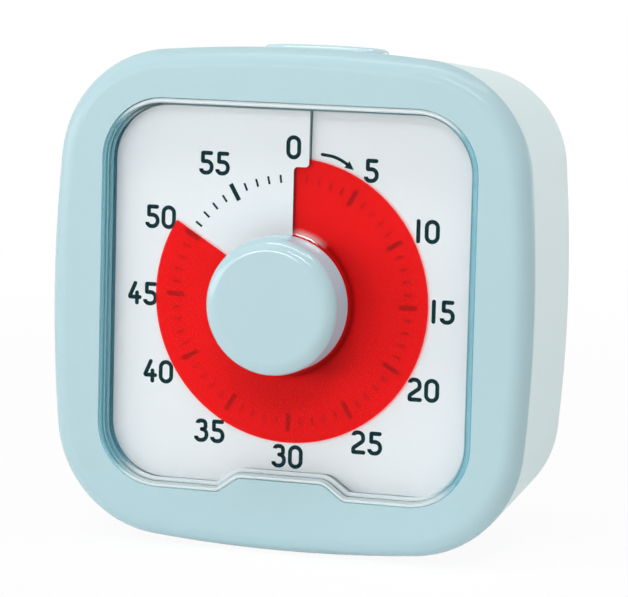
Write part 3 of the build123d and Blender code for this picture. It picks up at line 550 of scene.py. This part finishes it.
class TIMER_PG_dial(bpy.types.PropertyGroup):
    numeral_height: FloatProperty(
        name="Numeral height", description="Outer height of a numeral", default=5.2 * MM, unit="LENGTH")
    numeral_width: FloatProperty(
        name="Numeral width", description="Outer width of a numeral", default=3.38 * MM, unit="LENGTH")
    stroke: FloatProperty(
        name="Stroke", description="Width of a numeral's line", default=0.9 * MM, unit="LENGTH")
    number_columns: FloatVectorProperty(
        name="Number columns", description="From the middle out to the numbers at 5, 10 and 15 minutes", size=3,
        default=(18.05 * MM, 30.4 * MM, 34.35 * MM), unit="LENGTH")
    number_rows: FloatVectorProperty(
        name="Number rows", description="From the middle up to the numbers at 0, 5 and 10 minutes", size=3,
        default=(33.7 * MM, 29.4 * MM, 17.05 * MM), unit="LENGTH")
    number_drop: FloatProperty(
        name="Number drop", description="The numbers' middle lies this far below the spindle",
        default=0.4 * MM, unit="LENGTH")
    single_inset: FloatProperty(
        name="Single inset", description="A single digit stands this much nearer the middle",
        default=0.65 * MM, unit="LENGTH")
    digit_gap: FloatProperty(
        name="Digit gap", description="Clear gap between two digits", default=0.37 * MM, unit="LENGTH")
    one_gap: FloatProperty(
        name="Gap beside a 1", description="Clear gap between a 1 and the digit beside it",
        default=0.96 * MM, unit="LENGTH")
    mark_radius: FloatProperty(
        name="Mark radius", description="Spindle to the middle of a minute mark",
        default=26.5 * MM, unit="LENGTH")
    mark_length: FloatProperty(
        name="Mark length", description="Length of a minute mark", default=1.75 * MM, unit="LENGTH")
    mark_width: FloatProperty(
        name="Mark width", description="Width of a minute mark", default=0.48 * MM, unit="LENGTH")
    five_length: FloatProperty(
        name="Five-minute mark length", description="Length of every fifth mark",
        default=4.0 * MM, unit="LENGTH")
    five_width: FloatProperty(
        name="Five-minute mark width", description="Width of every fifth mark", default=1.0 * MM, unit="LENGTH")
    minutes: IntProperty(name="Minutes", description="Minutes round the dial", default=60, min=5)


class TIMER_PG_stage(bpy.types.PropertyGroup):
    sky: FloatProperty(name="Sky", description="Strength of the even light from all round", default=0.21, min=0)
    key: FloatProperty(name="Key lamp", description="Watts of the tall soft lamp in front", default=3.9, min=0)
    side: FloatProperty(name="Side lamp", description="Watts of the wide lamp on the left", default=5.4, min=0)
    strip: FloatProperty(
        name="Strip lamp", description="Watts of the small bright lamp in front", default=1.0, min=0)
    high_strip: FloatProperty(
        name="High strip lamp", description="Watts of the small bright lamp high in front", default=1.7, min=0)
    rear: FloatProperty(
        name="Rear lamp", description="Watts of the lamp behind the right side", default=2.7, min=0)
    top: FloatProperty(
        name="Top lamp", description="Watts of the lamp above the right side", default=2.0, min=0)
    overhead: FloatProperty(
        name="Overhead lamp", description="Watts of the long lamp above the front", default=4.8, min=0)
    floor_lift: FloatProperty(
        name="Floor lift", description="How far the floor is lifted to white where it is seen",
        default=0.93, min=0, max=1)
    azimuth: FloatProperty(
        name="Azimuth", description="Camera's turn to the right of the front",
        default=math.radians(19.08), unit="ROTATION")
    elevation: FloatProperty(
        name="Elevation", description="Camera's height above the horizon",
        default=math.radians(6.85), unit="ROTATION")
    roll: FloatProperty(
        name="Roll", description="Camera's turn about its view", default=math.radians(1.37), unit="ROTATION")
    distance: FloatProperty(name="Distance", description="Camera to spindle", default=0.754, unit="LENGTH")
    focal_length: FloatProperty(
        name="Focal length", description="In millimetres, for a sensor 36 mm wide", default=201.0, min=1)
    shift: FloatVectorProperty(
        name="Shift", description="The frame's shift right and up, as shares of its width", size=2,
        default=(0.0483, 0.0073))


# ---- what a user can make ----
class TIMER_OT_case_finish(bpy.types.Operator):
    """Finishes the case, its button, screws and feet"""

    bl_idname = "timer.case_finish"
    bl_label = "Finish the case"

    BUTTON_PAINTED_LIGHT = 1.12      # the button is the case's colour painted this much lighter, as painted light

    def execute(self, context):
        look = context.scene.timer_finish
        case = moulded_plastic("satin_light_blue", look.case_colour, look.gloss, shine=0.2)
        dress(["front_bezel"], case)
        # Painted light: the button is the case's plastic made lighter
        lighter = [self.BUTTON_PAINTED_LIGHT * c for c in look.case_colour]
        dress(["top_button"], moulded_plastic("button_light_blue", lighter, 0.08, shine=1.0))
        shell = moulded_plastic("satin_bluish_white", look.shell_colour, 0.42, depth=0.000001, shine=0.3)
        dress(["rear_shell", "battery_door"], shell)
        dress(["switch_thumb"], moulded_plastic("switch_plastic", look.shell_colour, 0.3, grain=1200.0))
        dress(["housing_screws", "frame_screws", "movement_screws", "board_screws"],
              metal("zinc_plate", (0.66, 0.66, 0.67), 0.32))
        rubber = moulded_plastic("soft_grey_rubber", (0.42, 0.47, 0.48), 0.8, grain=1500.0, depth=0.00005)
        dress(["feet"], rubber)
        return {"FINISHED"}


class TIMER_OT_lens_finish(bpy.types.Operator):
    """Makes the cover over the dial clear, and lays painted light and painted shadow lines in its rim"""

    bl_idname = "timer.lens_finish"
    bl_label = "Clear cover"

    # Thin lines in the rim's acrylic, painted reflections and painted shadows that stand for its inner
    # reflections
    # and shadows: how far inside the window's edge a line runs, its depth and its width, in millimetres, and
    # its finish.
    LINES = {
        "cover_rim_shine": (0.7, 1.2, 1.0, "rim_shine"),
        "cover_side_shine": (1.5, 1.9, 0.9, "rim_side_shine"),
        "cover_low_shine": (1.75, 1.8, 0.85, "rim_low_shine"),
        "cover_foot_line": (1.5, 3.56, 0.24, "shadow_line"),
        "cover_wall_line": (1.2, 0.1, 0.2, "shadow_line"),
        "cover_edge_line": (0.62, 1.1, 0.12, "shadow_line"),
    }
    # Painted light on the rim's upper and lower sides, and painted shade on its left and right
    PALE, PALE_LOW = (0.84, 0.92, 0.94), (0.86, 0.94, 0.96)
    BESIDE, BESIDE_DARK = (0.28, 0.54, 0.60), (0.24, 0.47, 0.54)

    def finishes(self):
        """Each finish of the lines by its name."""
        made = (
            lit_and_shaded_plastic("shadow_line", (0.50, 0.63, 0.66), (0.09, 0.21, 0.24), below_only=True),
            lit_and_shaded_plastic("rim_shine", self.PALE, self.BESIDE, (0.8, 0.8)),
            lit_and_shaded_plastic("rim_side_shine", self.PALE, self.BESIDE_DARK, (0.0, 0.75)),
            lit_and_shaded_plastic("rim_low_shine", self.PALE_LOW, self.BESIDE_DARK, (0.85, 0.0), below_only=True))
        return {material.name: material for material in made}

    def execute(self, context):
        look = context.scene.timer_finish
        tint = (0.985, 0.995, 0.995)
        dress(["lens"], clear_acrylic("clear_acrylic", tint, look.rim_colour, look.pane_gloss))
        finishes = self.finishes()
        for name, (inset, depth, width, finish) in self.LINES.items():
            flat, faces = ribbon(window_path(inset * MM), width * MM, closed=True)
            points = np.insert(flat, 1, depth * MM, axis=1) + np.array(SPINDLE)
            place_mesh(name, points, faces, "housing", "frame_plastic", finishes[finish])
        return {"FINISHED"}


class TIMER_OT_dial_finish(bpy.types.Operator):
    """Finishes the dial, the disc and the frame behind them"""

    bl_idname = "timer.dial_finish"
    bl_label = "Finish the dial"

    def execute(self, context):
        look = context.scene.timer_finish
        # The dial's cut edges take the ink's colour as painted shade
        dress(["dial_plate"], printed_sheet("matt_dial_sheet", look.dial_colour, look.ink_colour))
        dress(["time_disc"], red_sheet("matt_red_sheet", look.disc_colour, look.see_through))
        # The frame is painted light above and below the dial and painted shade beside it
        dress(["inner_frame"], lit_and_shaded_plastic("frame_plastic", (0.90, 0.93, 0.94), look.frame_side_shade))
        return {"FINISHED"}


class TIMER_OT_knob_finish(bpy.types.Operator):
    """Finishes the knob's cap and skirt"""

    bl_idname = "timer.knob_finish"
    bl_label = "Finish the knob"

    def execute(self, context):
        look = context.scene.timer_finish
        dress(["knob_cap"], moulded_plastic("knob_light_blue", look.case_colour, 0.1, grain=3200.0, shine=0.6))
        dress(["knob_base"], moulded_plastic("knob_white_plastic", look.skirt_colour, 0.22, shine=0.8))
        return {"FINISHED"}


class TIMER_OT_works_finish(bpy.types.Operator):
    """Finishes the movement, the boards, the battery and its contacts"""

    bl_idname = "timer.works_finish"
    bl_label = "Finish the works"

    def execute(self, context):
        natural = moulded_plastic("natural_acetal", (0.80, 0.80, 0.76), 0.4, soft=0.1)
        dress(["disc_hub", "movement_case", "movement_cover", "coil_bobbin", "centre_wheel", "third_wheel",
               "second_wheel", "first_wheel", "rotor_pinion"], natural)
        dress(["spindle", "spindle_bush"], metal("turned_brass", (0.80, 0.58, 0.26), 0.25))
        dress(["clutch_washer"], metal("spring_steel", (0.50, 0.50, 0.53), 0.3))
        dress(["rotor_magnet"], metal("sintered_magnet", (0.20, 0.20, 0.21), 0.55, 2500.0))
        dress(["stator"], metal("stamped_iron", (0.45, 0.45, 0.46), 0.4))
        dress(["coil_winding"], metal("enamelled_copper", (0.72, 0.30, 0.12), 0.25, 4000.0))
        board = moulded_plastic("green_board", (0.02, 0.16, 0.07), 0.35, mottle=0.15)
        dress(["circuit_board", "button_board"], board)
        dress(["controller_chip", "buzzer", "slide_switch", "tact_switch", "switch_plunger"],
              moulded_plastic("black_moulding", (0.02, 0.02, 0.022), 0.5))
        dress(["crystal"], metal("drawn_can", (0.72, 0.72, 0.74), 0.25))
        dress(["battery_cell"], moulded_plastic("dark_cell_sleeve", (0.05, 0.055, 0.06), 0.3, mottle=0.1))
        dress(["plate_contact", "spring_contact"], metal("nickel_strip", (0.70, 0.68, 0.64), 0.2))
        return {"FINISHED"}


class TIMER_OT_dial_print(bpy.types.Operator):
    """Prints the numerals, the minute marks and the arrow on the dial, and lays a painted shadow line beside
    the flap's edge
    """

    bl_idname = "timer.dial_print"
    bl_label = "Print the dial"

    def numerals(self, size):
        """Each number's digits side by side, as ribbons.

        The numbers stand in rows and columns that mirror each other about a middle a little below the
        spindle, with a quarter's rows and columns given. A number's ink is centred on its column.
        """
        parts = []
        half_width = (size.numeral_width - size.stroke) / 2
        half_height = (size.numeral_height - size.stroke) / 2
        columns, rows = (0.0, *size.number_columns), (*size.number_rows, 0.0)
        for five in range(12):
            text, turn = str(5 * five), five / 12 * 2 * math.pi
            quarter = 3 - abs(3 - five % 6)
            inset = size.single_inset if len(text) == 1 else 0.0
            x = math.copysign(max(columns[quarter] - inset, 0.0), math.sin(turn))
            z = math.copysign(rows[quarter], math.cos(turn)) - size.number_drop
            widths = [size.stroke if digit == "1" else size.numeral_width for digit in text]
            gap = size.one_gap if "1" in text else size.digit_gap
            left = x - (sum(widths) + gap * (len(text) - 1)) / 2
            for digit, width in zip(text, widths, strict=True):
                centre = np.array([left + width / 2, z])
                left += width + gap
                for path in put_strokes(DIGIT_STROKES[digit], centre, half_width, half_height):
                    parts.append(ribbon(path, size.stroke, closed=digit == "0"))
        return join(parts)

    def marks(self, size):
        """A bar for each minute: its four corners, turned clockwise about the spindle."""
        minute = np.arange(size.minutes)
        five = minute % 5 == 0
        turn = minute / size.minutes * 2 * math.pi
        length = np.where(five, size.five_length, size.mark_length)[:, None] / 2
        width = np.where(five, size.five_width, size.mark_width)[:, None] / 2
        across = width * [-1, -1, 1, 1]
        along = size.mark_radius + length * [-1, 1, 1, -1]
        sine, cosine = np.sin(turn)[:, None], np.cos(turn)[:, None]
        flat = np.stack([across * cosine + along * sine, along * cosine - across * sine], axis=-1)
        keep = minute > 0
        return flat[keep].reshape(-1, 2), np.arange(4 * keep.sum()).reshape(-1, 4)

    # The arrow, in millimetres: dial places of the bar's tail, corner and neck, and of the head's three
    # corners, the radius that the bar's corner is rounded to, and the bar's width.
    ARROW_SHAFT = ((6.15, 31.98), (9.3, 31.6), (12.1, 30.0))
    ARROW_HEAD = ((13.4, 28.95), (12.35, 30.85), (11.2, 29.4))
    ARROW_BEND, ARROW_WIDTH = 8.0, 0.7

    def arrow(self):
        """A curved bar with a triangular head, from beside the zero towards the five."""
        shaft = rounded_path(np.array(self.ARROW_SHAFT) * MM, [self.ARROW_BEND * MM], 24)
        shaft = ribbon(shaft, self.ARROW_WIDTH * MM)
        tip, upper, lower = np.array(self.ARROW_HEAD) * MM
        return join([shaft, (np.array([tip, upper, (upper + lower) / 2, lower]), np.array([[0, 1, 2, 3]]))])

    # A painted shadow line beside the flap's edge, in millimetres. Its depth is the dial's a little to the
    # right of the edge, where the dial is at the start of its turn, and the line is moved left from there to
    # the edge.
    SHADE_BESIDE, SHADE_MOVE, SHADE_WIDTH = 0.4, 0.38, 0.34
    SHADE_HEIGHTS = (0.3, 6.0, 12.3)    # above the flap's step

    def flap_shade(self):
        """The points and faces of that line."""
        line = np.array([[self.SHADE_BESIDE, height] for height in self.SHADE_HEIGHTS]) * MM
        flat, faces = ribbon(line + [FLAP_EDGE, FLAP_STEP], self.SHADE_WIDTH * MM, rounded=False)
        return on_dial(flat) - np.array([self.SHADE_MOVE * MM, 0, 0]), faces

    def execute(self, context):
        size = context.scene.timer_dial
        ink = moulded_plastic("dial_ink", context.scene.timer_finish.ink_colour, 0.7, mottle=0.05, shine=0.1)
        prints = {
            "dial_numerals": self.numerals(size), "dial_marks": self.marks(size), "dial_arrow": self.arrow()}
        for name, (flat, faces) in prints.items():
            place_mesh(name, on_dial(flat), faces, "housing", "dial_white", ink)
        # Painted shadow beside the flap's edge, as a dark line on the dial
        shade = moulded_plastic("flap_shade", (0.10, 0.22, 0.25), 0.7, shine=0.1)
        place_mesh("flap_shade_line", *self.flap_shade(), "housing", "dial_white", shade)
        return {"FINISHED"}


class TIMER_OT_stage(bpy.types.Operator):
    """Makes the floor, the light and the camera"""

    bl_idname = "timer.stage"
    bl_label = "Stage"

    # Each lamp's bearing right of the front and height above the horizon in degrees, and its distance, width
    # and height in metres.
    LAMPS = {
        "key": (-35, 38, 2.0, 0.9, 2.4),
        "side": (-60, 4, 1.2, 1.2, 0.5),
        "strip": (-20, 7, 1.0, 0.3, 0.1),
        "high_strip": (9, 35, 1.0, 0.42, 0.08),
        "overhead": (2, 74, 1.2, 1.0, 0.2),
        "top": (102, 63, 1.2, 0.5, 0.2),
        "rear": (140, 7, 1.2, 0.6, 0.45),
    }
    FLOOR_REACH = 8.0           # from the middle to the floor's edges, in metres
    FLOOR_COLOUR = (0.97, 0.97, 0.97)
    SENSOR_WIDTH = 36.0         # in millimetres
    NEAREST, FARTHEST = 0.05, 50.0      # that the camera sees, in metres

    def floor(self, lift):
        side = self.FLOOR_REACH
        corners = [[-side, -side, 0], [side, -side, 0], [side, side, 0], [-side, side, 0]]
        mesh = bpy.data.meshes.new("floor")
        mesh.from_pydata(corners, [], [[0, 1, 2, 3]])
        mesh.materials.append(studio_floor("white_floor", self.FLOOR_COLOUR, lift))
        floor = bpy.data.objects.new("floor", mesh)
        bpy.context.scene.collection.objects.link(floor)

    def sky(self, strength):
        """An even light from all round, and plain white where it is seen directly."""
        world = bpy.data.worlds.new("studio")
        world.use_nodes = True
        tree = world.node_tree
        tree.nodes.clear()
        level = ranged(tree, seen_rays(tree), 0.0, 1.0, strength, 1.0)
        light = node(tree, "ShaderNodeBackground", {"Color": WHITE, "Strength": level})
        node(tree, "ShaderNodeOutputWorld", {"Surface": light.outputs[0]})
        bpy.context.scene.world = world

    def lamp(self, name, power, azimuth, elevation, distance, width, height):
        """A rectangular lamp that faces the timer, from a bearing and a height in degrees."""
        a, e = math.radians(azimuth), math.radians(elevation)
        place = Vector((math.sin(a) * math.cos(e), -math.cos(a) * math.cos(e), math.sin(e))) * distance
        data = bpy.data.lights.new(name, "AREA")
        data.shape, data.size, data.size_y, data.energy = "RECTANGLE", width, height, power
        lamp = bpy.data.objects.new(name, data)
        lamp.location = Vector((0, 0, SPINDLE.z)) + place
        lamp.rotation_mode = "QUATERNION"
        lamp.rotation_quaternion = (-place).to_track_quat("-Z", "Y")
        bpy.context.scene.collection.objects.link(lamp)

    def camera(self, stage):
        """Right, up and back axes of a camera turned by azimuth, elevation and roll about the spindle."""
        ca, sa = math.cos(stage.azimuth), math.sin(stage.azimuth)
        ce, se = math.cos(stage.elevation), math.sin(stage.elevation)
        right, up, back = Vector((ca, sa, 0)), Vector((-sa * se, ca * se, ce)), Vector((sa * ce, -ca * ce, se))
        cr, sr = math.cos(stage.roll), math.sin(stage.roll)
        turned = Matrix((cr * right + sr * up, cr * up - sr * right, back)).transposed()
        data = bpy.data.cameras.new("camera")
        data.sensor_width, data.lens = self.SENSOR_WIDTH, stage.focal_length
        data.shift_x, data.shift_y = stage.shift
        data.clip_start, data.clip_end = self.NEAREST, self.FARTHEST
        camera = bpy.data.objects.new("camera", data)
        camera.matrix_world = Matrix.Translation(SPINDLE + back * stage.distance) @ turned.to_4x4()
        bpy.context.scene.collection.objects.link(camera)
        bpy.context.scene.camera = camera

    def execute(self, context):
        stage = context.scene.timer_stage
        self.floor(stage.floor_lift)
        self.sky(stage.sky)
        for name, place in self.LAMPS.items():
            self.lamp(name, getattr(stage, name), *place)
        self.camera(stage)
        context.scene.view_settings.view_transform = "Standard"
        return {"FINISHED"}


class TIMER_PT_panel(bpy.types.Panel):
    """Shows the timer's settings and its operators in the sidebar"""

    bl_label = "Visual timer"
    bl_idname = "TIMER_PT_panel"
    bl_space_type = "VIEW_3D"
    bl_region_type = "UI"
    bl_category = "Timer"

    def draw(self, context):
        for group in (context.scene.timer_finish, context.scene.timer_dial, context.scene.timer_stage):
            box = self.layout.box()
            for name in group.__annotations__:
                box.prop(group, name)
        for operator in OPERATORS:
            self.layout.operator(operator.bl_idname)


OPERATORS = (TIMER_OT_stage, TIMER_OT_case_finish, TIMER_OT_lens_finish, TIMER_OT_dial_finish,
             TIMER_OT_knob_finish, TIMER_OT_works_finish, TIMER_OT_dial_print)
GROUPS = {"timer_finish": TIMER_PG_finish, "timer_dial": TIMER_PG_dial, "timer_stage": TIMER_PG_stage}


def register():
    for group in (*GROUPS.values(), *OPERATORS, TIMER_PT_panel):
        bpy.utils.register_class(group)
    for name, group in GROUPS.items():
        setattr(bpy.types.Scene, name, PointerProperty(type=group))


def unregister():
    for name in GROUPS:
        delattr(bpy.types.Scene, name)
    for group in (TIMER_PT_panel, *OPERATORS[::-1], *GROUPS.values()):
        bpy.utils.unregister_class(group)


def main():
    register()
    for operator in OPERATORS:
        group, name = operator.bl_idname.split(".")
        getattr(getattr(bpy.ops, group), name)()


if __name__ == "__main__":
    main()
